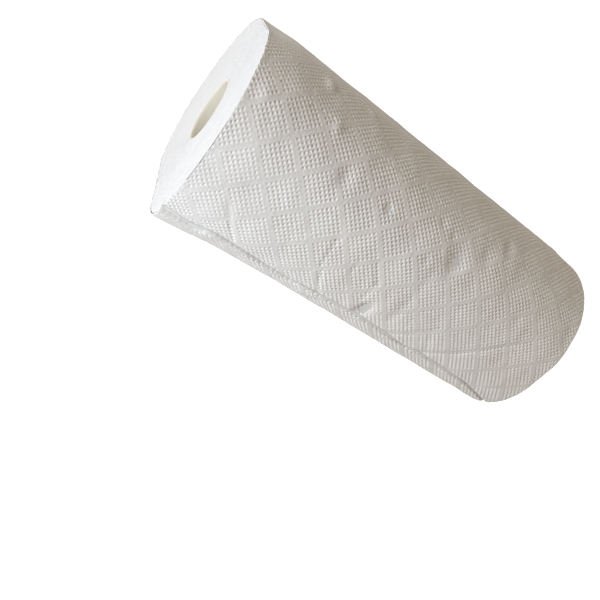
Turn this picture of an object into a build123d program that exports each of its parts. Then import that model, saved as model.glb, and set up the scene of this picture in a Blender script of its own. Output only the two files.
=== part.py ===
"""A squashed paper towel roll on its board core, standing on its end.

The origin is on the core's axis at the bottom end, and +Z runs up the core. -Y is the front.
The roll lay on its left side, so that side has the widest flat.
"""
from build123d import *
import os
from math import acos, atan2, cos, degrees, radians, sin, sqrt

# The roll before it was squashed
roll_diameter = 130.0
roll_length = 264.0

# The board tube that the paper is wound on, level with the paper at the bottom and short of it on top
core_inside_diameter = 38.0
core_wall = 0.9
core_glue_gap = 0.1
core_setback = 1.5

# The squashed section is four rounded corners joined by flats.
# Each corner has the place of its centre, and how much tighter it bends than the round roll.
front_left_x = -14.5
front_left_y = -17.8
front_left_tightness = 18.1
front_right_x = 0.5
front_right_y = -14.4
front_right_tightness = 10.9
back_right_x = 3.8
back_right_y = 10.9
back_right_tightness = 8.2
back_left_x = -2.2
back_left_y = 25.4
back_left_tightness = 19.0

# The loose end of the paper lies along the front left corner
tail_step = 0.8
tail_angle = -141.3

# The embossing: plain bands cross at 45 degrees and leave a lower field in each diamond.
# A band is measured between the middles of the pits along its two sides.
diamonds_around = 15
band_width = 5.0
field_depth = 0.3

# The way round from the loose end to a diamond's middle, and the drop to it from the top
lattice_turn = 3.2
lattice_drop = 3.3

# The turns that show on both ends, each standing for a bundle of real ones
shown_turns = 4
turn_gap = 1.0
turn_gap_depth = 1.2
turn_folds = 14

# A field that an end cuts shorter than this is left out
least_field = 8.0
cutter_overrun = 12.0

roll_radius = roll_diameter / 2
core_radius = core_inside_diameter / 2 + core_wall
bore_radius = core_radius + core_glue_gap


def corner(x, y, tightness, growth):
    """Centre and radius of one corner, with the paper grown by a part of the loose end's step."""
    return Vector(x, y), roll_radius - tightness + growth


def flat_direction(here, there):
    """Angle in degrees that the flat between two corners faces, seen from the axis."""
    (here_centre, here_radius), (there_centre, there_radius) = here, there
    gap = there_centre - here_centre
    lean = acos((here_radius - there_radius) / gap.length)
    return degrees(atan2(gap.Y, gap.X) - lean)


def around(centre, radius, angle):
    """The point of a corner's arc that faces an angle in degrees."""
    return centre + Vector(cos(radians(angle)), sin(radians(angle))) * radius


def draw_last_turn():
    """The roll's outline, from the loose end's lip anticlockwise round to the foot under the lip."""
    corners = [
        corner(front_left_x, front_left_y, front_left_tightness, tail_step),
        corner(front_right_x, front_right_y, front_right_tightness, 0.75 * tail_step),
        corner(back_right_x, back_right_y, back_right_tightness, 0.50 * tail_step),
        corner(back_left_x, back_left_y, back_left_tightness, 0.25 * tail_step),
        corner(front_left_x, front_left_y, front_left_tightness, 0),
    ]
    facings = [flat_direction(here, there) for here, there in zip(corners, corners[1:])]
    starts = [tail_angle] + facings
    ends = facings + [tail_angle]
    for index, (centre, radius) in enumerate(corners):
        sweep_angle = (ends[index] - starts[index]) % 360
        CenterArc(centre, radius, starts[index], sweep_angle)
        if index < len(facings):
            Line(around(centre, radius, ends[index]), around(*corners[index + 1], ends[index]))
    Line(around(*corners[-1], tail_angle), around(*corners[0], tail_angle))


def on_surface(cells, height):
    """A plane that faces out of the roll's side, a number of cells round from the first diamond."""
    along = (lattice_turn + cells * cell) / outline.length % 1
    facing = (outline % along).rotate(Axis.Z, -90)
    return Plane(origin=outline @ along + Vector(0, 0, height), x_dir=(0, 0, 1), z_dir=facing)


def spiral_point(fold, shift):
    """One fold of the wound paper, counted from the surface in to the core and moved in by a shift."""
    share = 1 - (fold + 1) / (shown_turns * turn_folds + 2)
    outer = outline @ (fold % turn_folds / turn_folds)
    outward = outer.normalized()
    return outward * (bore_radius - shift) + (outer - outward * bore_radius) * share


def draw_spiral(shift):
    """The shown turns as short straight folds."""
    Polyline(*[spiral_point(fold, shift) for fold in range(shown_turns * turn_folds + 1)])


with BuildLine() as surface_outline:
    draw_last_turn()
outline = surface_outline.wires()[0]
cell = outline.length / diamonds_around

# The floors of the fields lie on this many-sided block, which folds on each diamond's upright middle
floor_folds = []
for half_cells in range(2 * diamonds_around):
    skin = on_surface(half_cells / 2, 0)
    floor_folds.append(skin.origin - skin.z_dir * field_depth)
with BuildPart() as under_skin:
    with BuildSketch(Plane.XY.offset(-2 * cutter_overrun)):
        with BuildLine():
            Polyline(*floor_folds, close=True)
        make_face()
    extrude(amount=roll_length + 4 * cutter_overrun)

# The middles of the fields, in rows from the top down, every other row moved by half a cell
field_side = cell / sqrt(2) - band_width
field_reach = field_side / sqrt(2)
field_places = []
row = -1
height = roll_length - lattice_drop + cell / 2
while height + field_reach > least_field:
    if height - field_reach < roll_length - least_field:
        for column in range(diamonds_around):
            field_places.append(on_surface(column + row % 2 / 2, height))
    row += 1
    height -= cell / 2
with BuildPart() as fields:
    with Locations(*field_places):
        Box(field_side, field_side, cutter_overrun, rotation=(0, 0, 45))
    add(under_skin.part, mode=Mode.SUBTRACT)

# All the wound paper is one piece
with BuildPart() as paper_roll:
    with BuildSketch():
        with BuildLine():
            draw_last_turn()
        make_face()
        Circle(bore_radius, mode=Mode.SUBTRACT)
    extrude(amount=roll_length)
    for end in (Plane.XY, Plane.XY.offset(roll_length - turn_gap_depth)):
        with BuildSketch(end):
            with BuildLine():
                draw_spiral(0)
                draw_spiral(turn_gap)
                Line(spiral_point(0, 0), spiral_point(0, turn_gap))
                last_fold = shown_turns * turn_folds
                Line(spiral_point(last_fold, 0), spiral_point(last_fold, turn_gap))
            make_face()
        extrude(amount=turn_gap_depth, mode=Mode.SUBTRACT)
    add(fields.part, mode=Mode.SUBTRACT)
paper_roll.part.label = "paper_roll"

with BuildPart() as core_tube:
    with BuildSketch():
        Circle(core_radius)
        Circle(core_inside_diameter / 2, mode=Mode.SUBTRACT)
    extrude(amount=roll_length - core_setback)
core_tube.part.label = "core_tube"

print("diamond fields", len(field_places), "cell", round(cell, 2), "turn", round(outline.length, 2))
print("lip at", outline @ 0)

os.makedirs("parts", exist_ok=True)
export_step(paper_roll.part, "parts/paper_roll.step")
export_step(core_tube.part, "parts/core_tube.step")
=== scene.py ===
# %% [markdown]
# # A squashed roll of embossed paper towel
#
# The real object is one long web of two-ply paper, embossed with dots, wound on a board tube and
# trimmed at both ends. We build it in the order of the factory: emboss the paper flat, cut it into
# towels at the tear lines, wind it round the squashed outline, and cut the ends, where every turn
# shows its edge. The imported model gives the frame, and our pieces stand in for its solids.

# %% Load the frame
import math

import bmesh
import bpy
import numpy as np
from mathutils import Matrix, Vector
from mathutils.geometry import delaunay_2d_cdt


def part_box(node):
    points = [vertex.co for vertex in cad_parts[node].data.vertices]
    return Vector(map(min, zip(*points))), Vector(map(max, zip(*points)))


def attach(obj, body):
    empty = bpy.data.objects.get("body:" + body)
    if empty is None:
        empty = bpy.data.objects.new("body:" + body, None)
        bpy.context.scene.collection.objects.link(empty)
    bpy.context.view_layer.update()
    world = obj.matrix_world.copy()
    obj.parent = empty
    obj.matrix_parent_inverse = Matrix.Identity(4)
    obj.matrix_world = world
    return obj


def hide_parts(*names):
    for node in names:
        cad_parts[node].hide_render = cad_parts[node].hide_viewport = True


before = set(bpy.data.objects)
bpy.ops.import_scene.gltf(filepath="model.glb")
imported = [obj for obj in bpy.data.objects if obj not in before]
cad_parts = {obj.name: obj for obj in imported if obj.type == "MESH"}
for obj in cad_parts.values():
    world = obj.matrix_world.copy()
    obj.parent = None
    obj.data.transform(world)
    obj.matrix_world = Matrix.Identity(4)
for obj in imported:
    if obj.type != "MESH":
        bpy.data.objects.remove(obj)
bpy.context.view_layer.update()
scene = bpy.context.scene
MM = 0.001
roll_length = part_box("paper_roll")[1].z / MM
print("roll length", round(roll_length, 1), "mm")

# %% [markdown]
# ## Helpers for nodes
#
# Materials and geometry trees are both built from nodes here. One small function gives a node's
# inputs their values or links, and one adds a node of any kind. The four kinds that come up again and
# again get short names.

# %% Node helpers
MATH = "ShaderNodeMath"
VECTOR_MATH = "ShaderNodeVectorMath"
MIX = "ShaderNodeMix"
NOISE = "ShaderNodeTexNoise"


def feed(tree, node, inputs):
    """Give inputs of a node a value, or a node or socket to follow."""
    for name, value in inputs.items():
        if isinstance(value, bpy.types.Node):
            value = value.outputs[0]
        if isinstance(value, bpy.types.NodeSocket):
            tree.links.new(value, node.inputs[name])
        else:
            node.inputs[name].default_value = value


def add_node(tree, kind, inputs=None, **settings):
    """Add a node, set its properties and feed its inputs."""
    node = tree.nodes.new(kind)
    for name, value in settings.items():
        setattr(node, name, value)
    feed(tree, node, inputs or {})
    return node


# %% [markdown]
# ## Colours
#
# Hex colours are written the way a screen shows them, and shaders want linear light, so one function
# turns the one into the other.


# %% Colour helper
def linear(hex_colour):
    """An sRGB hex colour as linear red, green, blue and alpha."""
    channels = [int(hex_colour[start : start + 2], 16) / 255 for start in (1, 3, 5)]
    curve = [c / 12.92 if c <= 0.04045 else ((c + 0.055) / 1.055) ** 2.4 for c in channels]
    return (*curve, 1.0)


# %% [markdown]
# ## Embossed tissue
#
# Bleached tissue paper, creped, then pressed between steel rolls. Light scatters in its loose fibres,
# so it is fully matt with a faint velvety edge. Creping leaves fine ripples about 1 mm apart, a little
# longer along the core, and the fibres lie in soft clouds a few millimetres wide. Both are noise, and
# the ripples are bump, as they are too fine to model. Pit floors are painted a touch lighter, painted
# light against their shade, and a strip along the loose edge is painted darker, painted shade for the
# gap under it. Those two come as attributes of the mesh.


# %% Tissue material
CREPE_STRETCH = (1.0, 1.0, 0.7)
CREPE_BUMP = 0.3


def new_material(name):
    """An empty node material and its main shader."""
    material = bpy.data.materials.new(name)
    material.use_nodes = True
    return material, material.node_tree, material.node_tree.nodes["Principled BSDF"]


def tissue_material(name, light_hex, dark_hex, pit_light_hex, edge_shade_hex, crepe_mm, cloud_mm):
    """Matt crepe tissue, fibre clouds, painted light in pits, painted shade at the loose edge."""
    material, tree, shader = new_material(name)
    spot = add_node(tree, "ShaderNodeTexCoord").outputs["Object"]
    cloud = add_node(tree, NOISE, {"Vector": spot, "Scale": 1 / (cloud_mm * MM), "Detail": 4.0})
    share = cloud.outputs["Fac"]
    # Painted light: an attribute mixes a lighter colour into the pit floors, against their shade.
    colour = linear(light_hex)
    # Painted shade: another attribute mixes a darker colour along the loose edge.
    for attribute, other_hex in ((None, dark_hex), ("pit_light", pit_light_hex), ("edge_shade", edge_shade_hex)):
        if attribute:
            share = add_node(tree, "ShaderNodeAttribute", attribute_name=attribute).outputs["Fac"]
        mixed = add_node(tree, MIX, {0: share, 6: colour, 7: linear(other_hex)}, data_type="RGBA")
        colour = mixed.outputs[2]
    stretched = add_node(tree, "ShaderNodeMapping", {"Vector": spot, "Scale": CREPE_STRETCH})
    crepe = add_node(tree, NOISE, {"Vector": stretched, "Scale": 1 / (crepe_mm * MM), "Detail": 3.0})
    height = {"Height": crepe.outputs["Fac"], "Strength": 0.9, "Distance": CREPE_BUMP * MM}
    bump = add_node(tree, "ShaderNodeBump", height)
    feed(tree, shader, {"Base Color": colour, "Normal": bump, "Roughness": 0.95})
    feed(tree, shader, {"Specular IOR Level": 0.2, "Sheen Weight": 0.1})
    return material


# The third colour is painted light for the pit floors, and the fourth is painted shade for the loose
# edge.
embossed_tissue = tissue_material(
    "embossed_tissue", "#f2f1ef", "#e9e8e5", "#f4f3f1", "#c4c3bd", 1.1, 5.0
)
print("material", embossed_tissue.name)

# %% [markdown]
# ## The squashed outline
#
# The roll was round and was flattened in its pack. Its section is four rounded corners joined by
# flats, and because the paper is wound, the outline is a spiral: after one turn it passes under its
# own loose end, one paper and some air lower. We walk along it with arcs and straight runs and keep
# the place and the outward direction for every half millimetre, so that any flat drawing can be
# wound on by looking up its distance from the loose end.

# %% The wound outline
ROLL_RADIUS = 65.0
TAIL_STEP = 0.8
TAIL_ANGLE = -141.3
CORNERS = {
    "front_left": (-14.5, -17.8, 18.1),
    "front_right": (0.5, -14.4, 10.9),
    "back_right": (3.8, 10.9, 8.2),
    "back_left": (-2.2, 25.4, 19.0),
}
WALK_STEP = 0.5
BEFORE_LIP = 20.0
UNDER_LIP = 8.0


def corner_arc(name, growth):
    """Centre and radius of a corner, with the paper grown by part of the loose end's step."""
    x, y, tightness = CORNERS[name]
    return np.array([x, y]), ROLL_RADIUS - tightness + growth


def walk_outline():
    """Distance from the lip, place and outward angle all along the last turn, as arrays."""
    names = list(CORNERS) + ["front_left"]
    arcs = [corner_arc(name, TAIL_STEP * (1 - i / 4)) for i, name in enumerate(names)]
    facings = []
    for (here, here_radius), (there, there_radius) in zip(arcs, arcs[1:]):
        gap = there - here
        lean = math.acos((here_radius - there_radius) / np.hypot(*gap))
        facings.append(math.atan2(gap[1], gap[0]) - lean)
    tail = math.radians(TAIL_ANGLE)
    starts = [tail] + facings
    ends = facings + [tail]
    angles, centres, radii = [], [], []
    before = BEFORE_LIP / arcs[0][1]
    after = UNDER_LIP / arcs[-1][1]
    for i, (centre, radius) in enumerate(arcs):
        sweep = (ends[i] - starts[i]) % math.tau
        start = starts[i] - (before if i == 0 else 0)
        end = starts[i] + sweep + (after if i == len(arcs) - 1 else 0)
        count = int((end - start) * radius / WALK_STEP) + 2
        angles.append(np.linspace(start, end, count))
        centres.append(np.tile(centre, (count, 1)))
        radii.append(np.full(count, radius))
    angle = np.unwrap(np.concatenate(angles))
    outward = np.stack([np.cos(angle), np.sin(angle)], 1)
    points = np.concatenate(centres) + outward * np.concatenate(radii)[:, None]
    distance = np.concatenate([[0], np.cumsum(np.hypot(*np.diff(points, axis=0).T))])
    return distance - BEFORE_LIP, points, angle


walk, walk_points, walk_angle = walk_outline()
turn_length = walk[-1] - UNDER_LIP
print("one turn is", round(turn_length, 1), "mm round")


def wind(flat):
    """Wind flat points (distance from the lip, drop from the top, height) round the outline."""
    facing = np.interp(flat[:, 0], walk, walk_angle)
    x = np.interp(flat[:, 0], walk, walk_points[:, 0]) + np.cos(facing) * flat[:, 2]
    y = np.interp(flat[:, 0], walk, walk_points[:, 1]) + np.sin(facing) * flat[:, 2]
    return np.stack([x, y, roll_length - flat[:, 1]], 1)


# %% [markdown]
# ## Tiles of paper
#
# Steel pins press an oval pit at each dot. A tile of paper with one pit in it is enough: four
# corners, a ring of eight points for the rim, and a smaller ring for the floor. Its neighbour shares
# its corners, so hundreds of tiles weld into one sheet. A band between two fields dips along its
# middle, so its tile has a fold line there, and where two bands cross the tile has two.

# %% Tiles
LATTICE_TURN = 13.43
LATTICE_DROP = 13.64
LATTICE_START = (43.87, -23.58)
DOTS_PER_CELL = 8
PIT_REACH = (1.26, 0.88)
FLOOR_SHARE = 0.42
PIT_DEPTH = 0.43
RING_POINTS = 8
RIM_PIT_LIGHT = 0.2
RING_START = math.tau * 5 / 16
PIT_SLANT = math.tau / 8
HALF_ROOT = math.sqrt(0.5)
cell_side = math.hypot(LATTICE_TURN, LATTICE_DROP)
tile_side = 1 / DOTS_PER_CELL


def dotted_paper():
    """A square of paper with one pit: its points, its faces and each point's painted pit light."""
    half = tile_side / 2
    points = [(-half, -half, 0), (half, -half, 0), (half, half, 0), (-half, half, 0)]
    pit_light = [0.0] * 4
    # Painted light: the rim gets a fifth of the lighter pit colour, and the floor gets all of it.
    for share, height, light_share in ((1.0, 0.0, RIM_PIT_LIGHT), (FLOOR_SHARE, -PIT_DEPTH, 1.0)):
        for step in range(RING_POINTS):
            angle = math.tau * step / RING_POINTS - RING_START
            long = math.cos(angle + PIT_SLANT) * PIT_REACH[0] * share / cell_side
            short = math.sin(angle + PIT_SLANT) * PIT_REACH[1] * share / cell_side
            points.append(((long + short) * HALF_ROOT, (short - long) * HALF_ROOT, height))
            pit_light.append(light_share)
    rim, floor = 4, 4 + RING_POINTS
    faces = [tuple(range(floor, floor + RING_POINTS))]
    for step in range(RING_POINTS):
        after = (step + 1) % RING_POINTS
        faces.append((rim + step, rim + after, floor + after, floor + step))
    for corner in range(4):
        left = rim + (2 * corner) % RING_POINTS
        right = rim + (2 * corner + 1) % RING_POINTS
        before = rim + (2 * corner - 1) % RING_POINTS
        faces.append((corner, (corner + 1) % 4, right, left))
        faces.append((corner, left, before))
    return points, faces, pit_light


def band_paper(rows):
    """A square of paper with a fold line down its middle, in one row or two."""
    half = tile_side / 2
    levels = np.linspace(-half, half, rows + 1)
    points = [(x, y, 0) for y in levels for x in (-half, 0, half)]
    faces = [(i, i + 1, i + 4, i + 3) for row in range(rows) for i in (3 * row, 3 * row + 1)]
    return points, faces, [0.0] * len(points)


def make_tile(name, points, faces, pit_light):
    """An object to repeat: its plan in cell units, its height in millimetres."""
    mesh = bpy.data.meshes.new(name)
    mesh.from_pydata(points, [], faces)
    # Each point keeps its share of painted pit light as an attribute.
    mesh.attributes.new("pit_light", "FLOAT", "POINT").data.foreach_set("value", pit_light)
    print(name, len(faces), "faces")
    return bpy.data.objects.new(name, mesh)


tiles = {
    "Dotted tile": make_tile("dotted_tile", *dotted_paper()),
    "Band tile": make_tile("band_tile", *band_paper(1)),
    "Crossing tile": make_tile("crossing_tile", *band_paper(2)),
}

# %% [markdown]
# ## Bands and fields
#
# The bands are a lattice. On a grid where a cell is one unit, a band runs along every whole number,
# so folding a position back and forth every half unit gives the distance to the nearest band. The
# number of bands through a point, 0, 1 or 2, picks its tile, and a tile gets a quarter turn where its
# band runs the other way.


# %% Bands at a point
def bands_at(tree, spot):
    """How many bands run through each point, and the turn that its tile needs."""
    split = add_node(tree, "ShaderNodeSeparateXYZ", {0: spot})
    on_band = []
    for axis in (0, 1):
        away = add_node(tree, MATH, {0: split.outputs[axis], 1: 0.5}, operation="PINGPONG")
        on_band.append(add_node(tree, MATH, {0: away, 1: tile_side / 2}, operation="LESS_THAN"))
    bands = add_node(tree, MATH, {0: on_band[0], 1: on_band[1]}, operation="ADD")
    quarter = add_node(tree, MATH, {0: on_band[1], 1: math.pi / 2}, operation="MULTIPLY")
    return bands, add_node(tree, "ShaderNodeCombineXYZ", {"Z": quarter})


# %% [markdown]
# ## What lies off the towel
#
# The lattice lies slanted on a towel, so a square grid that covers the towel sticks out all round.
# Cutting thousands of real faces away is slow, so we drop whole tiles while they are instances: those
# that lie outside the towel by more than their own side.


# %% Drop tiles
def on_towel(tree, laid, spot, given):
    """The laid tiles without those that lie off the towel."""
    from_middle = add_node(tree, VECTOR_MATH, {0: spot, 1: given["Middle"]}, operation="SUBTRACT")
    reach = add_node(tree, VECTOR_MATH, {0: from_middle}, operation="ABSOLUTE")
    beyond = add_node(tree, VECTOR_MATH, {0: reach, 1: given["Half size"]}, operation="SUBTRACT")
    sides = add_node(tree, "ShaderNodeSeparateXYZ", {0: beyond})
    furthest = add_node(tree, MATH, {0: sides.outputs[0], 1: sides.outputs[1]}, operation="MAXIMUM")
    off = add_node(tree, MATH, {0: furthest, 1: cell_side * tile_side}, operation="GREATER_THAN")
    return add_node(
        tree, "GeometryNodeDeleteGeometry", {"Geometry": laid, "Selection": off}, domain="INSTANCE"
    )


# %% [markdown]
# ## Starting, ending and running a tree
#
# The pits of the embossing and the turns at the ends repeat hundreds of times by a rule, which is
# what Geometry Nodes are for. One function starts a tree with named inputs, one ends it with real
# geometry and a material, and one runs it and hands back a plain mesh, because an export keeps plain
# meshes only.


# %% Tree helpers
def start_tree(name, inputs):
    """Begin a geometry tree with named inputs. Returns the tree and its input node's outputs."""
    tree = bpy.data.node_groups.new(name, "GeometryNodeTree")
    tree.interface.new_socket("Geometry", in_out="OUTPUT", socket_type="NodeSocketGeometry")
    for label, kind in inputs.items():
        tree.interface.new_socket(label, in_out="INPUT", socket_type="NodeSocket" + kind)
    return tree, tree.nodes.new("NodeGroupInput").outputs


def end_tree(tree, geometry, material):
    """Finish a tree: real geometry, one material, out."""
    real = add_node(tree, "GeometryNodeRealizeInstances", {"Geometry": geometry})
    painted = add_node(tree, "GeometryNodeSetMaterial", {"Geometry": real, "Material": material})
    add_node(tree, "NodeGroupOutput", {0: painted})
    print(tree.name, "tree", len(tree.nodes), "nodes")
    return tree


def run_tree(tree, values):
    """Run a geometry tree on an empty object and return the result as a plain mesh."""
    holder = bpy.data.objects.new("holder", bpy.data.meshes.new("holder"))
    scene.collection.objects.link(holder)
    modifier = holder.modifiers.new("tree", "NODES")
    modifier.node_group = tree
    for socket in tree.interface.items_tree:
        if socket.in_out == "INPUT":
            modifier[socket.identifier] = values[socket.name]
    graph = bpy.context.evaluated_depsgraph_get()
    mesh = bpy.data.meshes.new_from_object(holder.evaluated_get(graph), depsgraph=graph)
    bpy.data.objects.remove(holder)
    return mesh


# %% [markdown]
# ## The embossing as a geometry tree
#
# A grid has one point for each tile, and each point gets the tile that its bands ask for. Then the
# lattice is turned by 45 degrees and scaled to millimetres, and what lies off the towel is dropped
# before the tiles are made real and welded.

# %% Embossing tree
TILE_WELD = 0.02


def embossing_tree():
    """A tree that makes a flat towel: distance from the lip, drop from the top, height."""
    inputs = {tile: "Object" for tile in tiles}
    inputs |= {"Cells across": "Int", "Middle cell": "Vector", "Middle": "Vector", "Half size": "Vector"}
    tree, given = start_tree("embossing", inputs)
    across = given["Cells across"]
    steps = add_node(tree, MATH, {0: across, 1: float(DOTS_PER_CELL)}, operation="MULTIPLY")
    count = add_node(tree, MATH, {0: steps, 1: 1.0}, operation="ADD")
    grid = add_node(
        tree,
        "GeometryNodeMeshGrid",
        {"Size X": across, "Size Y": across, "Vertices X": count, "Vertices Y": count},
    )
    spot = add_node(tree, "GeometryNodeInputPosition")
    bands, facing = bands_at(tree, spot)
    joined = add_node(tree, "GeometryNodeJoinGeometry")
    for number, tile in enumerate(tiles):
        wanted = add_node(tree, MATH, {0: bands, 1: float(number), 2: 0.5}, operation="COMPARE")
        shape = add_node(tree, "GeometryNodeObjectInfo", {"Object": given[tile]})
        laying = {"Points": grid, "Selection": wanted, "Rotation": facing}
        laying["Instance"] = shape.outputs["Geometry"]
        feed(tree, joined, {0: add_node(tree, "GeometryNodeInstanceOnPoints", laying)})
    laid = joined
    scale = (LATTICE_TURN * math.sqrt(2), LATTICE_DROP * math.sqrt(2), 1)
    for move in (
        {"Translation": given["Middle cell"]},
        {"Rotation": (0, 0, math.pi / 4)},
        {"Translation": (*LATTICE_START, 0), "Scale": scale},
    ):
        laid = add_node(tree, "GeometryNodeTransform", {"Geometry": laid, **move})
    kept = on_towel(tree, laid, spot, given)
    real = add_node(tree, "GeometryNodeRealizeInstances", {"Geometry": kept})
    welded = add_node(
        tree, "GeometryNodeMergeByDistance", {"Geometry": real, "Distance": TILE_WELD}
    )
    return end_tree(tree, welded, embossed_tissue)


embossing = embossing_tree()

# %% [markdown]
# ## Swells and uneven pressing
#
# The wound paper isn't smooth: it has shallow swells of many lengths. Sculpting them would be a day's
# work, so we add up seeded waves. Each has the same steepness, so a long one is also a high one. The
# pits are deeper towards the far end and round the flank than at the end that we look at, with soft
# patches over that, and the bands dip towards a fold down their middle.

# %% Swells
WAVES = 30
SHORTEST_WAVE = 8
LONGEST_WAVE = 60
WAVE_STEEPNESS = 0.008
BAND_SINK = 0.14
PRESS_DROPS = (0, 40, 110, 210)
PRESS_SHARES = (0.56, 0.70, 1.22, 1.36)
PRESS_TURNS = (0, 15, 30, 50, 85, 100)
PRESS_TURN_SHARES = (1.12, 1.06, 0.98, 1.12, 1.40, 1.25)
PRESS_PATCHES = 0.12
PATCH_LANES = (4.1, 9.0)
PATCH_ROWS = (5.3, 7.0)
wave_rng = np.random.default_rng(7)
wave_length = np.exp(wave_rng.uniform(math.log(SHORTEST_WAVE), math.log(LONGEST_WAVE), WAVES))
wave_heading = wave_rng.uniform(0, math.pi, WAVES)
wave_phase = wave_rng.uniform(0, math.tau, WAVES)


def swells(turn, drop):
    """Soft swells of the whole surface."""
    height = np.zeros_like(turn)
    for length, heading, phase in zip(wave_length, wave_heading, wave_phase):
        across = turn * math.cos(heading) + drop * math.sin(heading)
        wave = np.sin(math.tau * across / length + phase)
        height += WAVE_STEEPNESS * length / math.tau * wave
    return height


def pressing(turn, drop):
    """How deep the pits are pressed here, as a share of the full depth."""
    lanes = np.sin(turn / PATCH_LANES[0] + 2 * np.sin(drop / PATCH_LANES[1]))
    rows = np.sin(drop / PATCH_ROWS[0] + 2 * np.sin(turn / PATCH_ROWS[1]))
    share = np.interp(drop, PRESS_DROPS, PRESS_SHARES)
    share = share * np.interp(turn, PRESS_TURNS, PRESS_TURN_SHARES)
    return share * (1 + PRESS_PATCHES * (lanes + rows))


def band_groove(turn, drop):
    """A shallow groove down the middle of each band."""
    across = (turn - LATTICE_START[0]) / LATTICE_TURN / 2
    down = (drop - LATTICE_START[1]) / LATTICE_DROP / 2
    nearest = np.ones_like(turn)
    for cells in (down + across, down - across):
        nearest = np.minimum(nearest, np.abs(cells - np.round(cells)))
    return -BAND_SINK * np.clip(1 - 2 * nearest * DOTS_PER_CELL, 0, 1)


print("waves", [round(length) for length in sorted(wave_length)])

# %% [markdown]
# ## Dents and creases
#
# The roll was gripped and squeezed. A dent is a round hollow, and a bump is one with a negative
# depth. A crease is a narrow groove along a line. Places are given on the flat drawing, as the
# distance from the loose end and the drop from the top. Most creases run in from the loose end.

# %% Dents and creases
DENTS = [
    ((10, 129.5), (7.5, 4), 2.2),
    ((66, 153.5), (8.5, 6), 1.7),
    ((69, 66.5), (6.5, 4.5), 0.95),
    ((69.5, 97.8), (2.4, 2.3), 1.05),
    ((78, 143.7), (3, 2.2), 0.45),
    ((81, 133.5), (3, 2.6), 0.45),
    ((58, 135.5), (3, 2.2), 0.4),
    ((81, 171), (6.5, 5), 0.7),
    ((95, 186.5), (7, 4), 1.0),
    ((60, 216), (7, 5), 0.35),
    ((58, 231), (6, 6), 0.3),
    ((70, 258), (7, 4), 0.5),
    ((30, 108), (8, 6), 0.3),
    ((113, 41), (5, 3.5), -1.2),
    ((90, 51), (5, 2.5), -0.6),
    ((118, 71), (4, 3), -0.6),
    ((80, 10), (5, 4), -0.8),
    ((145, 0), (50, 14), 2.4),
    ((300, 0), (45, 12), 0.8),
]
CREASES = [
    ((24, 24), (1, 42.5), 1.2, 0.4),
    ((42, 83.5), (22, 87), 1.2, 0.25),
    ((23, 87), (0, 102), 1.3, 0.35),
    ((43, 111), (31, 122), 1.5, 0.3),
    ((33, 121.5), (14, 122.5), 1.8, 0.3),
    ((56, 144), (12, 147), 3.2, 0.3),
    ((3, 182), (48, 229), 2.2, 0.45),
    ((2, 154), (28, 177), 2.0, 0.4),
    ((20, 176), (2, 190), 2.0, 0.3),
    ((38, 103), (24, 104.5), 1.5, 0.25),
]
CREASE_FADE = 6.0


def dent(turn, drop, at, size, depth):
    """A round hollow, or a bump where the depth is negative."""
    reach = ((turn - at[0]) / size[0]) ** 2 + ((drop - at[1]) / size[1]) ** 2
    return -depth * np.exp(-reach)


def crease(turn, drop, start, end, width, depth):
    """A groove along a line, fading out at both ends."""
    start, end = np.array(start), np.array(end)
    run = end - start
    length = np.hypot(*run)
    along = ((turn - start[0]) * run[0] + (drop - start[1]) * run[1]) / length
    across = ((turn - start[0]) * run[1] - (drop - start[1]) * run[0]) / length
    to_end = np.minimum(along, length - along)
    fade = np.clip(0.5 + to_end / CREASE_FADE, 0, 1)
    return -depth * fade * np.exp(-((across / width) ** 2))


def relief(turn, drop):
    """Height of the paper's skin over the wound outline, in millimetres."""
    height = swells(turn, drop) + band_groove(turn, drop)
    for at, size, depth in DENTS:
        height += dent(turn, drop, at, size, depth)
    for start, end, width, depth in CREASES:
        height += crease(turn, drop, start, end, width, depth)
    return height


print(len(DENTS), "dents and", len(CREASES), "creases")

# %% [markdown]
# ## The loose end
#
# The last towel was torn off by hand, and its edge wanders a few millimetres either way. The paper
# rises to a low crest, falls to its thin torn edge, and curls up at the top corner. Beside the edge
# the turn below stands as high as the loose end, with a narrow valley between them, and that valley
# and painted shade along the edge make the thin dark line that we see. The roll bulges beyond it.
# Under the loose end the valley closes again, so no gap opens at the rim. Fold lines cut beside the
# edge give these bends enough points.

# %% The loose end's line
EDGE_DROPS = (0, 22, 30, 52, 64, 84, 92, 106, 137, 155, 173, 182, 208, 230, 248, 264)
EDGE_TURNS = (-4.6, -4.2, -1.2, -1.2, -2.8, -2.8, -0.4, 1.0, 2.8, 2.2, -0.2, 2.4, 2.0, 0.4, -4.0, -11.0)
EDGE_SAMPLES = 265
EDGE_BLUR = 2.4
EDGE_BLUR_REACH = 6
CREST = (3.5, 2.5, 0.25)
CURL = (13.0, 8.0, 0.9)
EDGE_FALL = 0.8
EDGE_REACH = 3.0
VALLEY_START = 0.2
VALLEY_WIDTH = 2.6
VALLEY_DEPTH = 1.3
VALLEY_UNDER = 4.0
PIT_FADE = (2.0, 2.2)
EDGE_SHADE_REACH = 1.3
FOLDS = (-5.0, -3.4, -2.6, -1.8, -1.0, -0.2, 0.6, 1.2, 1.8, 3.0)
BULGE = 0.9
CORNER_BULGE = 3.4
CORNER_REACH = 35
BULGE_FLAT = 12
BULGE_REACH = 45.0


def edge_turn(drop):
    """Where the loose edge lies: its distance past the lip, for each drop from the top."""
    fine = np.linspace(0, roll_length, EDGE_SAMPLES)
    line = np.pad(np.interp(fine, EDGE_DROPS, EDGE_TURNS), EDGE_BLUR_REACH, mode="edge")
    kernel = np.exp(-0.5 * (np.arange(-EDGE_BLUR_REACH, EDGE_BLUR_REACH + 1) / EDGE_BLUR) ** 2)
    smooth = np.convolve(line, kernel / kernel.sum(), mode="valid")
    return np.interp(drop, fine, smooth)


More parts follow.
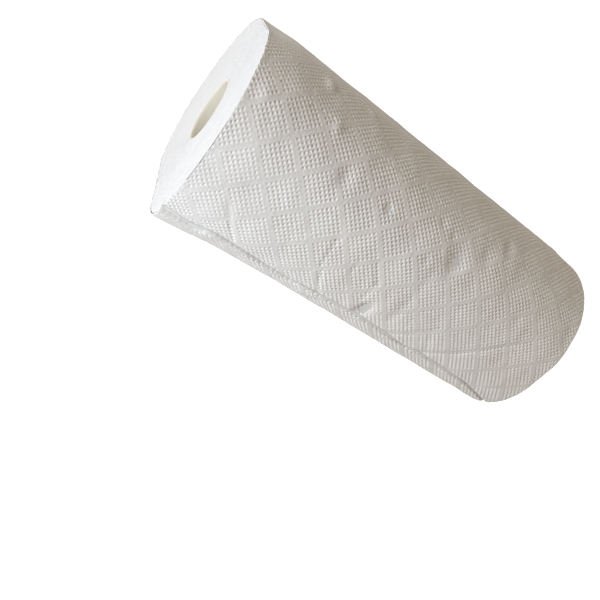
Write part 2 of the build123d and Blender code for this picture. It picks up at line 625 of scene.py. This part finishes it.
def ease(share):
    """A share from 0 to 1, eased at both ends."""
    share = np.clip(share, 0, 1)
    return share * share * (3 - 2 * share)


def edge_lift(turn, drop):
    """The crest before the loose edge, the fall down to it, and the curl near the top corner."""
    before = turn - edge_turn(drop)
    crest = CREST[2] * np.exp(-(((before - CREST[0]) / CREST[1]) ** 2))
    curl = CURL[2] * np.exp(-(((drop - CURL[0]) / CURL[1]) ** 2))
    return crest + (curl - EDGE_FALL) * ease(1 - before / EDGE_REACH)


def from_edge(turn, drop):
    """Distance from the loose edge, on the loose towel and on the turn below it."""
    return np.abs(turn - edge_turn(drop)), np.abs(turn_length + edge_turn(drop) - turn)


def near_edge(turn, drop):
    """From 0 at the loose edge, on either side of it, to 1 where the pits have their full depth."""
    on_top, below = from_edge(turn, drop)
    return ease(on_top / PIT_FADE[0]) * ease(below / PIT_FADE[1])


# Painted shade: a darker colour along both sides of the loose edge, for the gap under it.
def edge_shade(turn, drop):
    """Painted shade along the loose edge: 1 on the edge, on both sides, fading to 0 away from it."""
    on_top, below = from_edge(turn, drop)
    return np.exp(-((np.minimum(on_top, below) / EDGE_SHADE_REACH) ** 2))


def under_lift(turn, drop):
    """The valley beside and under the loose edge and the bulge beyond it, for the turn below."""
    past = turn_length + edge_turn(drop) - turn
    bulge = BULGE + CORNER_BULGE * np.exp(-((drop / CORNER_REACH) ** 2))
    rise = ease((past - VALLEY_START) / VALLEY_WIDTH)
    fade = ease((BULGE_REACH - past) / (BULGE_REACH - BULGE_FLAT))
    under = ease(1 + past / VALLEY_UNDER)
    return bulge * rise * fade - VALLEY_DEPTH * (1 - rise) * under


print("loose edge, mm past the lip:", np.round(edge_turn(np.array(EDGE_DROPS)), 1))

# %% [markdown]
# ## Tear lines
#
# A toothed blade leaves a row of short slits across the web, so that a towel tears off straight.
# Under tension the slits gape a little. Real slits would cost far more faces than they show, so the
# skin only dips at each one.

# %% Tear lines
TEAR_FIRST = 91.5
TOWEL_PITCH = 140.0
SLIT_PITCH = 3.2
SLIT_SHARE = 0.62
SLIT_DEPTH = 0.16
SLIT_HALF_WIDTH = 0.5
SLIT_SHARPNESS = 12
tear_lines = [TEAR_FIRST + TOWEL_PITCH * i for i in range(3)]


def slits(turn, drop):
    """The dips of all tear lines."""
    phase = drop / SLIT_PITCH % 1
    open_here = np.clip((SLIT_SHARE / 2 - np.abs(phase - 0.5)) * SLIT_SHARPNESS + 0.5, 0, 1)
    height = np.zeros_like(turn)
    for line in tear_lines:
        height -= SLIT_DEPTH * open_here * np.exp(-(((turn - line) / SLIT_HALF_WIDTH) ** 2))
    return height


print("tear lines at", tear_lines, "mm from the lip")

# %% [markdown]
# ## Cutting a towel
#
# The tree gives tiles with a saw-tooth border, so each towel is trimmed by four straight cuts. The
# loose edge isn't straight, so we shear the paper until it is, cut it, cut the fold lines beside it,
# and shear it back. The same is done to the turn that the loose edge lies on.

# %% Trim
CUT_TOLERANCE = 0.001


def read_points(mesh):
    """All points of a mesh as one array."""
    points = np.zeros(len(mesh.vertices) * 3)
    mesh.vertices.foreach_get("co", points)
    return points.reshape(-1, 3)


def cut(sheet, spot, outward, drop=True):
    """Cut a sheet along a line, and drop what lies outward of it unless told not to."""
    everything = sheet.verts[:] + sheet.edges[:] + sheet.faces[:]
    bmesh.ops.bisect_plane(
        sheet, geom=everything, dist=CUT_TOLERANCE, plane_co=spot, plane_no=outward, clear_outer=drop
    )


def trim(mesh, start, end, lip=None):
    """Cut a flat towel to its two tear lines and to the roll's length. Returns a bmesh."""
    points = read_points(mesh)
    if lip is not None:
        points[:, 0] -= edge_turn(points[:, 1])
    mesh.vertices.foreach_set("co", points.ravel())
    sheet = bmesh.new()
    sheet.from_mesh(mesh)
    cut(sheet, (0, 0, 0), (0, -1, 0))
    cut(sheet, (0, roll_length, 0), (0, 1, 0))
    if lip is not None:
        for fold in FOLDS:
            cut(sheet, (lip + fold, 0, 0), (1, 0, 0), drop=False)
        if start == lip:
            cut(sheet, (lip, 0, 0), (-1, 0, 0))
        lean = edge_turn(np.array([v.co.y for v in sheet.verts]))
        for vertex, shift in zip(sheet.verts, lean):
            vertex.co.x += shift
    if start != lip:
        cut(sheet, (start, 0, 0), (-1, 0, 0))
    cut(sheet, (end, 0, 0), (1, 0, 0))
    return sheet


# %% [markdown]
# ## Backing a towel
#
# A sheet needs a back and a rim, or it isn't a closed body. Giving it thickness with a modifier would
# repeat every pit on the back. Instead we copy the border one paper's thickness down and fill it with
# a coarse mesh, which saves half the triangles where nobody looks.

# %% Back
PAPER_THICKNESS = 0.70
BACK_STEP = (5.0, 11.0)
BACK_MARGIN = 3.0
FILL_TOLERANCE = 1e-4
TOWEL_SHARP = 80


def border_of(sheet):
    """The border's vertices in order."""
    edges = [edge for edge in sheet.edges if edge.is_boundary]
    links = {}
    for edge in edges:
        for vertex in edge.verts:
            links.setdefault(vertex, []).append(edge.other_vert(vertex))
    first = edges[0].verts[0]
    loop, before, here = [first], None, first
    while True:
        step = [v for v in links[here] if v is not before][0]
        if step is first:
            break
        loop.append(step)
        before, here = here, step
    if len(loop) != len(links):
        print("border has", len(links) - len(loop), "points off its main loop")
    return loop


def back_points(flat):
    """A coarse grid of points that keeps clear of the border."""
    low = np.min([tuple(p) for p in flat], 0) + BACK_MARGIN
    high = np.max([tuple(p) for p in flat], 0) - BACK_MARGIN
    counts = [max(2, int((high[i] - low[i]) / BACK_STEP[i]) + 1) for i in (0, 1)]
    left = {round(p.y): p.x for p in flat if p.x < (low[0] + high[0]) / 2}
    inner = []
    for y in np.linspace(low[1], high[1], counts[1]):
        for x in np.linspace(low[0], high[0], counts[0]):
            if x > left.get(round(y), low[0]) + BACK_MARGIN:
                inner.append(Vector((x, y)))
    return inner


def face_out(solid, sharp_angle):
    """Turn all faces outward, and mark the edges that bend by more than an angle as sharp."""
    bmesh.ops.recalc_face_normals(solid, faces=solid.faces[:])
    for edge in solid.edges:
        if len(edge.link_faces) == 2 and edge.calc_face_angle() > math.radians(sharp_angle):
            edge.smooth = False


def back(sheet):
    """Close a sheet with a wall round its border and a coarse back."""
    loop = border_of(sheet)
    flat = [Vector((v.co.x, v.co.y)) for v in loop]
    count = len(flat)
    rim_edges = [(i, (i + 1) % count) for i in range(count)]
    filled = delaunay_2d_cdt(flat + back_points(flat), rim_edges, [], 1, FILL_TOLERANCE)
    points, _, faces, origins, _, _ = filled
    made = [sheet.verts.new((p.x, p.y, -PAPER_THICKNESS)) for p in points]
    match = {}
    for index, sources in enumerate(origins):
        for source in sources:
            match[source] = made[index]
    for face in faces:
        sheet.faces.new([made[i] for i in reversed(face)])
    for i in range(count):
        j = (i + 1) % count
        if match[i] is not match[j]:
            sheet.faces.new([loop[j], loop[i], match[i], match[j]])
    face_out(sheet, TOWEL_SHARP)


# %% [markdown]
# ## Four towels
#
# The last turn is cut from the web in four pieces at its tear lines. The saw that cuts the log
# leaves the rims uneven, so points right on a rim move in by up to half a millimetre, and not far
# from the loose end the last turn has slipped in by 0.7 mm more. The skin gets its pits, slits,
# relief and lift while it is flat, where distances are easy to measure, and is wound on at the end.

# %% Wind the towels
FRAY = 0.5
FRAY_REACH = 4.0
FRAY_WAVES = (1.7, 0.61)
SLIP = (38.0, 22.0, 0.7)
UNDER_LAP = 7.0


def write_points(mesh, points):
    """Put an array of points, in millimetres, back into a mesh, in metres."""
    mesh.vertices.foreach_set("co", (points * MM).ravel())
    mesh.update()


def place(name, mesh, node):
    """Make a mesh a finished piece of the roll, which stands in for one of its solids."""
    piece = bpy.data.objects.new(name, mesh)
    mesh.name = name
    scene.collection.objects.link(piece)
    mesh.shade_smooth()
    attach(piece, "root")
    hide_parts(node)
    print(name, len(mesh.polygons), "faces")


def fray(turn, drop):
    """How far a point near a rim is moved in along the roll, by fraying and by the last turn's slip."""
    ragged = FRAY * (0.5 + 0.25 * np.sin(turn / FRAY_WAVES[0]) + 0.25 * np.sin(turn / FRAY_WAVES[1] + 2))
    upper = np.clip(1 - drop / FRAY_REACH, 0, 1)
    lower = np.clip(1 - (roll_length - drop) / FRAY_REACH, 0, 1)
    slip = SLIP[2] * np.exp(-(((turn - SLIP[0]) / SLIP[1]) ** 2))
    return ragged * (upper - lower) + slip * upper


def towel(name, start, end, lip=None):
    """One towel of the web, embossed, trimmed, backed and wound on."""
    first = start - BEFORE_LIP if start == lip else start
    middle = ((first + end) / 2, roll_length / 2)
    half = ((end - first) / 2, roll_length / 2)
    along = (middle[0] - LATTICE_START[0]) / LATTICE_TURN
    down = (middle[1] - LATTICE_START[1]) / LATTICE_DROP
    reach = (half[0] / LATTICE_TURN + half[1] / LATTICE_DROP) / 2
    values = {"Middle": (*middle, 0), "Half size": (*half, 0), **tiles}
    values["Middle cell"] = (round((down + along) / 2), round((down - along) / 2), 0)
    values["Cells across"] = 2 * math.ceil(reach + 1)
    mesh = run_tree(embossing, values)
    sheet = trim(mesh, start, end, lip)
    back(sheet)
    sheet.to_mesh(mesh)
    sheet.free()
    flat = read_points(mesh)
    turn, drop = flat[:, 0].copy(), flat[:, 1].copy()
    on_skin = flat[:, 2] > CUT_TOLERANCE - PAPER_THICKNESS
    flat[on_skin, 2] *= (pressing(turn, drop) * near_edge(turn, drop))[on_skin]
    flat[on_skin, 2] += slits(turn, drop)[on_skin]
    flat[:, 2] += relief(turn, drop)
    if start == lip:
        flat[:, 2] += edge_lift(turn, drop)
    flat[:, 2] += under_lift(turn, drop)
    # Painted shade: a darker colour along both sides of the loose edge stands for the shade of the gap
    # under it.
    mesh.attributes.new("edge_shade", "FLOAT", "POINT").data.foreach_set("value", edge_shade(turn, drop))
    flat[:, 1] += fray(turn, drop)
    write_points(mesh, wind(flat))
    place(name, mesh, "paper_roll")


towel("towel_loose_end", 0.0, tear_lines[0], lip=0.0)
towel("towel_second", tear_lines[0], tear_lines[1])
towel("towel_third", tear_lines[1], tear_lines[2])
towel("towel_under_loose_end", tear_lines[2], turn_length + UNDER_LAP, lip=turn_length)

# %% [markdown]
# ## The ends: every turn shows its edge
#
# A saw cuts the long log into rolls, so an end shows one fine line per turn. Lines in a bump would
# lie on a flat face, and the rim would look too clean, so the turns are real. They start from the
# outline just under the last towel, with the same dents, which is made first, as a closed curve.

# %% Outline of the turns
OUTLINE_POINTS = 400
TURN_INSET = 0.78
STEP_REACH = 9.0


def turn_outline(drop):
    """The closed outline that the turns start from, just under the last towel's back."""
    turn = np.linspace(0, turn_length, OUTLINE_POINTS, endpoint=False)
    level = np.full_like(turn, drop)
    height = relief(turn, level) - band_groove(turn, level) - TURN_INSET
    height -= TAIL_STEP * ease(1 - turn / STEP_REACH)
    height += under_lift(turn, level) + under_lift(turn_length + turn, level)
    points = wind(np.stack([turn, level, height], 1))
    curve = bpy.data.curves.new("turn_outline", "CURVE")
    curve.dimensions = "3D"
    spline = curve.splines.new("POLY")
    spline.points.add(len(points) - 1)
    for spot, (x, y, _) in zip(spline.points, points):
        spot.co = (x, y, 0, 1)
    spline.use_cyclic_u = True
    holder = bpy.data.objects.new("turn_outline", curve)
    scene.collection.objects.link(holder)
    return holder


# %% [markdown]
# ## The way in to the core
#
# One axis of a flat grid counts the turns and the other goes once round. Each point moves from the
# outline towards the bore by its share of all the way wound, so the last point of a turn meets the
# first of the next. A spiral drawn as a curve would have to repeat the squashed outline 80 times.


# %% Place on the spiral
def turns_so_far(tree, given, split):
    """A point's turn, its share of that turn, and the sum of the two."""
    turn = add_node(
        tree, MATH, {0: given["Turns"], 1: 0.5, 2: split.outputs[0]}, operation="MULTIPLY_ADD"
    )
    share = add_node(tree, MATH, {0: split.outputs[1], 1: 0.5}, operation="ADD")
    return turn, share, add_node(tree, MATH, {0: turn, 1: share}, operation="ADD")


def spiral_spot(tree, given, share, inwards):
    """The place between the outline and the bore, and the direction out from the axis."""
    outline = add_node(tree, "GeometryNodeObjectInfo", {"Object": given["Outline"]})
    curve = {"Curves": outline.outputs["Geometry"], "Factor": share}
    outer = add_node(tree, "GeometryNodeSampleCurve", curve, mode="FACTOR").outputs["Position"]
    outward = add_node(tree, VECTOR_MATH, {0: outer}, operation="NORMALIZE")
    bore = add_node(tree, VECTOR_MATH, {0: outward, "Scale": given["Bore radius"]}, operation="SCALE")
    place_on = add_node(tree, MIX, {0: inwards, 4: outer, 5: bore}, data_type="VECTOR")
    return place_on.outputs[1], outward


# %% [markdown]
# ## The height of a paper's edge
#
# Two rows of points per turn give each paper edge a crest and a gap. Slow noise, which changes from
# turn to turn more than along one, makes a turn stand higher or lower than its neighbour, as the log
# was wound with a little play. The square of the way in makes the end a shallow dish.

# %% Height of the edges
NOISE_PER_TURN = 0.7
NOISE_ROUND = (3.0, 3.0, 0.0)


def edge_height(tree, given, turn, wound, inwards, outward):
    """How far a point of the end stands up, as a vector."""
    fold = add_node(tree, MATH, {0: turn, 1: 0.5}, operation="PINGPONG")
    crest = add_node(tree, MATH, {0: fold, 1: given["Ridge"]}, operation="MULTIPLY")
    lane = add_node(
        tree, MATH, {0: wound, 1: NOISE_PER_TURN, 2: given["Seed"]}, operation="MULTIPLY_ADD"
    )
    upwards = add_node(tree, "ShaderNodeCombineXYZ", {"Z": lane})
    spot = add_node(tree, VECTOR_MATH, {0: outward, 1: NOISE_ROUND, 2: upwards}, operation="MULTIPLY_ADD")
    noise = add_node(tree, NOISE, {"Vector": spot, "Scale": 1.0, "Detail": 3.0})
    level = add_node(tree, MATH, {0: noise.outputs["Fac"], 1: 0.5}, operation="SUBTRACT")
    edge = add_node(tree, MATH, {0: level, 1: given["Noise"], 2: crest}, operation="MULTIPLY_ADD")
    bowl = add_node(tree, MATH, {0: inwards, 1: 2.0}, operation="POWER")
    sunk = add_node(tree, MATH, {0: bowl, 1: given["Dish"]}, operation="MULTIPLY")
    height = add_node(tree, MATH, {0: edge, 1: sunk}, operation="SUBTRACT")
    return add_node(tree, "ShaderNodeCombineXYZ", {"Z": height})


# %% [markdown]
# ## The turns as a geometry tree
#
# The tree bends the grid and welds each turn to the next. The ends get a tissue of their own with
# finer ripples, painted a touch greyer than the embossed skin as painted shade, which tones down
# the lamp-lit ends.

# %% Turns tree
TURN_WELD = 0.003
# Painted shade: the same tissue, painted a touch greyer, so that the lamp-lit ends are toned down.
shaded_end_tissue = tissue_material(
    "shaded_end_tissue", "#dedede", "#d5d5d5", "#dedede", "#dedede", 0.7, 9.0
)


def turns_tree():
    """A tree that makes one end of the wound paper as a spiral of paper edges."""
    inputs = {"Outline": "Object", "Turns": "Int", "Around": "Int", "Bore radius": "Float"}
    inputs |= {"Ridge": "Float", "Noise": "Float", "Dish": "Float", "Seed": "Float"}
    tree, given = start_tree("turns", inputs)
    rows = add_node(tree, MATH, {0: given["Turns"], 1: 2.0, 2: 1.0}, operation="MULTIPLY_ADD")
    columns = add_node(tree, MATH, {0: given["Around"], 1: 1.0}, operation="ADD")
    grid = add_node(
        tree,
        "GeometryNodeMeshGrid",
        {"Size X": given["Turns"], "Size Y": 1.0, "Vertices X": rows, "Vertices Y": columns},
    )
    spot = add_node(tree, "GeometryNodeInputPosition")
    split = add_node(tree, "ShaderNodeSeparateXYZ", {0: spot})
    turn, share, wound = turns_so_far(tree, given, split)
    all_turns = add_node(tree, MATH, {0: given["Turns"], 1: 1.0}, operation="ADD")
    inwards = add_node(tree, MATH, {0: wound, 1: all_turns}, operation="DIVIDE")
    place_on, outward = spiral_spot(tree, given, share, inwards)
    lifted = edge_height(tree, given, turn, wound, inwards, outward)
    final = add_node(tree, VECTOR_MATH, {0: place_on, 1: lifted}, operation="ADD")
    bent = add_node(tree, "GeometryNodeSetPosition", {"Geometry": grid, "Position": final})
    welded = add_node(
        tree, "GeometryNodeMergeByDistance", {"Geometry": bent, "Distance": TURN_WELD}
    )
    return end_tree(tree, welded, shaded_end_tissue)


turns = turns_tree()

# %% [markdown]
# ## Both ends and the walls between them
#
# The tree makes the upper end and the lower one from the same grid, so a point above and its partner
# below have the same number. Each border edge above is joined to its partner below, by way of two
# more rings. Round the skin they lie further in, where its dents can't reach them.

# %% Join the two ends
TURNS = 80
AROUND = 280
BORE_RADIUS = 20.0
EDGE_RIDGE = 0.25
EDGE_NOISE = 0.80
END_SINK = 0.40
TOP_DISH = 1.2
BOTTOM_DISH = 0.3
TOP_SEED = 0.0
BOTTOM_SEED = 211.0
WALL_INSET = 3.5
WALL_RUN = 6.0
END_SHARP = 75


def end_of_roll(drop, dish, seed):
    """One end of the wound paper, as a mesh in millimetres, looking up or down."""
    outline = turn_outline(drop)
    values = {"Outline": outline, "Turns": TURNS, "Around": AROUND, "Bore radius": BORE_RADIUS}
    values |= {"Ridge": EDGE_RIDGE, "Noise": EDGE_NOISE, "Dish": dish, "Seed": seed}
    mesh = run_tree(turns, values)
    bpy.data.objects.remove(outline)
    points = read_points(mesh)
    side = 1 if drop == 0 else -1
    points[:, 2] = roll_length - drop + side * (points[:, 2] - END_SINK)
    mesh.vertices.foreach_set("co", points.ravel())
    return mesh


def wall_points(solid, upper, lower, inset):
    """Points of a wall between an upper and a lower border point."""
    points = []
    for vertex, run in ((upper, -WALL_RUN), (lower, WALL_RUN)):
        spot = vertex.co.copy()
        if inset:
            spot.xy *= 1 - WALL_INSET / spot.xy.length
        points.append(solid.verts.new((spot.x, spot.y, spot.z + run)))
    return points


def wound_paper():
    """The wound paper under the last towel, closed all round."""
    solid = bmesh.new()
    top = end_of_roll(0, TOP_DISH, TOP_SEED)
    bottom = end_of_roll(roll_length, BOTTOM_DISH, BOTTOM_SEED)
    solid.from_mesh(top)
    count = len(solid.verts)
    solid.from_mesh(bottom)
    solid.verts.index_update()
    spots = solid.verts[:]
    border = [edge for edge in solid.edges if edge.is_boundary and edge.verts[0].index < count]
    columns = {}
    for edge in border:
        for vertex in edge.verts:
            if vertex.index not in columns:
                partner = spots[vertex.index + count]
                out = vertex.co.xy.length > BORE_RADIUS + WALL_INSET
                columns[vertex.index] = [vertex, *wall_points(solid, vertex, partner, out), partner]
    for edge in border:
        left, right = (columns[vertex.index] for vertex in edge.verts)
        for i in range(len(left) - 1):
            solid.faces.new([left[i], right[i], right[i + 1], left[i + 1]])
    face_out(solid, END_SHARP)
    solid.to_mesh(top)
    solid.free()
    write_points(top, read_points(top))
    place("wound_turns", top, "paper_roll")


wound_paper()

# %% [markdown]
# ## The core's board
#
# The core is wound from strips of grey-white board, glued and cut. Its lining is smooth and cream, and
# a little less matt than tissue. Fibre flecks a millimetre or two wide break up its colour, and a
# noise texture gives them without an image.

# %% Core material
FLECK_MM = 1.6
FLECK_BUMP = 0.05


def board_material():
    """Smooth calendered board, cream, with soft fibre flecks."""
    material, tree, shader = new_material("core_paperboard")
    spot = add_node(tree, "ShaderNodeTexCoord").outputs["Object"]
    noise = add_node(tree, NOISE, {"Vector": spot, "Scale": 1 / (FLECK_MM * MM), "Detail": 5.0})
    fleck = noise.outputs["Fac"]
    cream = {0: fleck, 6: linear("#e4e1d6"), 7: linear("#d8d3c3")}
    colour = add_node(tree, MIX, cream, data_type="RGBA").outputs[2]
    height = {"Height": fleck, "Strength": 0.15, "Distance": FLECK_BUMP * MM}
    bump = add_node(tree, "ShaderNodeBump", height)
    feed(tree, shader, {"Base Color": colour, "Normal": bump, "Roughness": 0.7})
    feed(tree, shader, {"Specular IOR Level": 0.35})
    return material


core_paperboard = board_material()
print("material", core_paperboard.name)

# %% [markdown]
# ## The core tube
#
# The strips run at a slant, so a faint seam climbs the inside in a slow spiral. A plain tube would be
# quicker, but the seam has to be pressed into points of its own. So one closed profile is turned once
# round, row by row, and a formula gives each point of the lining its distance from the seam.

# %% Core tube
CORE_INSIDE = 19.0
CORE_OUTSIDE = 19.9
SEAM_PITCH = 92.0
SEAM_DEPTH = 0.18
SEAM_HALF_WIDTH = 0.7
CORE_AROUND = 180
CORE_ROWS = 170
CORE_RIM = 0.25
core_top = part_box("core_tube")[1].z / MM


def core_tube():
    """The board tube as one closed turned profile with a spiral seam inside."""
    around, rows, rim = CORE_AROUND, CORE_ROWS, CORE_RIM
    inner = [(CORE_INSIDE, z) for z in np.linspace(core_top - rim, rim, rows)]
    outer = [(CORE_OUTSIDE, z) for z in (rim, core_top / 2, core_top - rim)]
    bottom = [(CORE_INSIDE + rim, 0.0), (CORE_OUTSIDE - rim, 0.0)]
    top = [(CORE_OUTSIDE - rim, core_top), (CORE_INSIDE + rim, core_top)]
    profile = np.array(inner + bottom + outer + top)
    angle = np.linspace(0, math.tau, around, endpoint=False)
    radius = np.repeat(profile[:, 0][:, None], around, 1)
    level = np.repeat(profile[:, 1][:, None], around, 1)
    from_seam = ((level / SEAM_PITCH - angle / math.tau + 0.5) % 1 - 0.5) * SEAM_PITCH
    groove = SEAM_DEPTH * np.exp(-((from_seam / SEAM_HALF_WIDTH) ** 2))
    radius[:rows] += groove[:rows]
    points = np.stack([radius * np.cos(angle), radius * np.sin(angle), level], 2).reshape(-1, 3)
    count = len(profile)
    faces = []
    for row in range(count):
        for column in range(around):
            after = (column + 1) % around
            here, there = row * around, (row + 1) % count * around
            faces.append((here + column, there + column, there + after, here + after))
    mesh = bpy.data.meshes.new("core_board")
    mesh.from_pydata(points.tolist(), [], faces)
    shell = bmesh.new()
    shell.from_mesh(mesh)
    bmesh.ops.recalc_face_normals(shell, faces=shell.faces[:])
    shell.to_mesh(mesh)
    shell.free()
    mesh.materials.append(core_paperboard)
    write_points(mesh, points)
    place("core_board", mesh, "core_tube")


core_tube()

# %% [markdown]
# ## The floor
#
# A white paper sweep. A floor that is lit to full white would burn out the roll as well, so this one
# glows to the camera, which keeps the roll's soft shadow, and is a dim warm surface to all other
# rays, which throw a little of it back at the lower side.

# %% Floor
FLOOR_GLOW = 0.68
FLOOR_HALF = 40.0


def shows_itself(tree):
    """The light path, and 1 for the rays that show a surface and don't light anything with it."""
    path = add_node(tree, "ShaderNodeLightPath")
    either = {0: path.outputs["Is Camera Ray"], 1: path.outputs["Is Glossy Ray"]}
    direct = add_node(tree, MATH, either, operation="MAXIMUM")
    any_of_three = {0: direct, 1: path.outputs["Is Transmission Ray"]}
    return path, add_node(tree, MATH, any_of_three, operation="MAXIMUM")


def floor_material():
    """Pale paper sweep, which shows white to the camera."""
    material, tree, shader = new_material("studio_paper_sweep")
    path, seen = shows_itself(tree)
    pale = {0: path.outputs["Is Camera Ray"], 6: linear("#61564a"), 7: linear("#f2f2f2")}
    colour = add_node(tree, MIX, pale, data_type="RGBA").outputs[2]
    glow = add_node(tree, MATH, {0: seen, 1: FLOOR_GLOW}, operation="MULTIPLY")
    feed(tree, shader, {"Base Color": colour, "Roughness": 0.9})
    feed(tree, shader, {"Emission Color": (1, 1, 1, 1), "Emission Strength": glow})
    return material


def make_floor():
    """A wide flat sheet that the roll stands on."""
    mesh = bpy.data.meshes.new("floor")
    corners = [(x * FLOOR_HALF, y * FLOOR_HALF, 0) for x, y in ((-1, -1), (1, -1), (1, 1), (-1, 1))]
    mesh.from_pydata(corners, [], [(0, 1, 2, 3)])
    mesh.materials.append(floor_material())
    floor = bpy.data.objects.new("floor", mesh)
    scene.collection.objects.link(floor)
    print("floor", 2 * FLOOR_HALF, "m wide")


make_floor()

# %% [markdown]
# ## The light
#
# Soft daylight, a little blue, falls on the side of the end that we look at, and a sun lamp would
# draw hard shadows. So three square lamps stand for it: the key lamp, a side lamp that grazes the far
# flank, and a weak low one for the strip under the loose end. The room gives a dim warm fill, so
# the flank goes down to a warm grey, while the world shows white to the camera.

# %% Light
FILL_COLOUR = (1.0, 0.876, 0.717, 1.0)
FILL_STRENGTH = 0.60
LAMP_AIM = (0.0, 0.0, 0.16)
LAMP_SIZE = 0.26
LAMP_COLOUR = (0.90, 1.0, 1.14)
LAMPS = {
    "key_lamp": ((-0.189, -0.318, 0.674), 2.5),
    "side_lamp": ((0.22, 0.16, 0.50), 0.36),
    "low_lamp": ((-0.19, 0.0, 0.255), 0.065),
}


def light_room():
    """White to the camera, and a dim warm fill to the roll."""
    world = bpy.data.worlds.new("studio")
    scene.world = world
    world.use_nodes = True
    tree = world.node_tree
    tree.nodes.clear()
    _, seen = shows_itself(tree)
    fill = add_node(tree, "ShaderNodeBackground", {"Color": FILL_COLOUR, "Strength": FILL_STRENGTH})
    white = add_node(tree, "ShaderNodeBackground", {"Color": (1, 1, 1, 1), "Strength": 1.0})
    either = add_node(tree, "ShaderNodeMixShader", {0: seen, 1: fill, 2: white})
    add_node(tree, "ShaderNodeOutputWorld", {0: either})


def hang_lamp(name, spot, power):
    """One soft square lamp that looks at the roll."""
    lamp = bpy.data.lights.new(name, "AREA")
    lamp.size = LAMP_SIZE
    lamp.energy = power
    lamp.color = LAMP_COLOUR
    holder = bpy.data.objects.new(name, lamp)
    scene.collection.objects.link(holder)
    holder.location = spot
    holder.visible_camera = False
    away = Vector(spot) - Vector(LAMP_AIM)
    holder.rotation_euler = away.to_track_quat("Z", "Y").to_euler()
    print(name, power, "W from", round(away.length, 2), "m")


light_room()
for lamp_name, (lamp_place, lamp_power) in LAMPS.items():
    hang_lamp(lamp_name, lamp_place, lamp_power)

# %% [markdown]
# ## The camera
#
# The photograph looks down at a lying roll. Ours stands, so the camera is rolled instead, and the roll
# lies across the frame. Its place, aim and lens come from a fit to the outlines of the near end, the
# hole and both sides.

# %% Camera
CAMERA_PLACE = (0.0, -372.6, 324.2)
CAMERA_AZIMUTH = -10.42
CAMERA_ELEVATION = -25.19
CAMERA_ROLL = 59.5
CAMERA_LENS = 37.59
SENSOR_WIDTH = 36.0


def set_camera():
    """The photograph's camera, rolled on its side."""
    camera = bpy.data.objects.new("camera", bpy.data.cameras.new("camera"))
    scene.collection.objects.link(camera)
    camera.data.lens = CAMERA_LENS
    camera.data.sensor_width = SENSOR_WIDTH
    turn, rise = math.radians(CAMERA_AZIMUTH), math.radians(CAMERA_ELEVATION)
    level = math.cos(rise)
    forward = Vector((math.sin(turn) * level, math.cos(turn) * level, math.sin(rise)))
    upright = forward.to_track_quat("-Z", "Y").to_matrix().to_4x4()
    roll = Matrix.Rotation(-math.radians(CAMERA_ROLL), 4, "Z")
    camera.matrix_world = Matrix.Translation(Vector(CAMERA_PLACE) * MM) @ upright @ roll
    scene.camera = camera
    print("camera right", [round(v, 3) for v in camera.matrix_world.col[0][:3]])
    print("camera up", [round(v, 3) for v in camera.matrix_world.col[1][:3]])


set_camera()
scene.view_settings.view_transform = "Standard"
